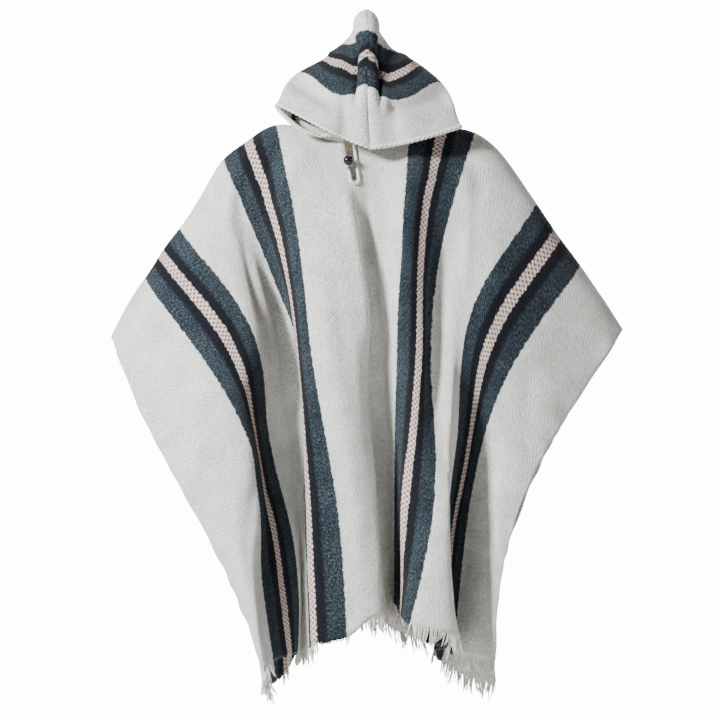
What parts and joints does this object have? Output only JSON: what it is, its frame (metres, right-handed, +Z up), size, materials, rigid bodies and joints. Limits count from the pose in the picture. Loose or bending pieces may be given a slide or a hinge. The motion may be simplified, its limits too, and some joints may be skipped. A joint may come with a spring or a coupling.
{
  "type": "hooded poncho",
  "caption": "Hooded wool poncho with dark blue and pale stripes, a buttoned neck slit and fringed hems, hanging filled out as worn.",
  "frame": {"origin": "on the shoulder line of the wearer, at the height where the poncho is held up", "axes": "+Z up, -Y to the front of the wearer, +X to the viewer's right"},
  "size_m": [0.8987, 0.4151, 1.2261],
  "materials": {
    "striped_wool": "matt woven wool, cream with slate, dark and pink warp stripes",
    "fringe_yarn": "loose wool yarn",
    "edging_yarn": "twisted wool cord",
    "button_black": "polished black ball"
  },
  "bodies": {
    "root": {"body_front": "striped_wool", "body_back": "striped_wool", "hood_left": "striped_wool", "hood_right": "striped_wool", "fringe_front": "fringe_yarn", "fringe_back": "fringe_yarn", "slit_edging": "edging_yarn", "button_loop": "edging_yarn", "button": "button_black"}
  },
  "joints": []
}
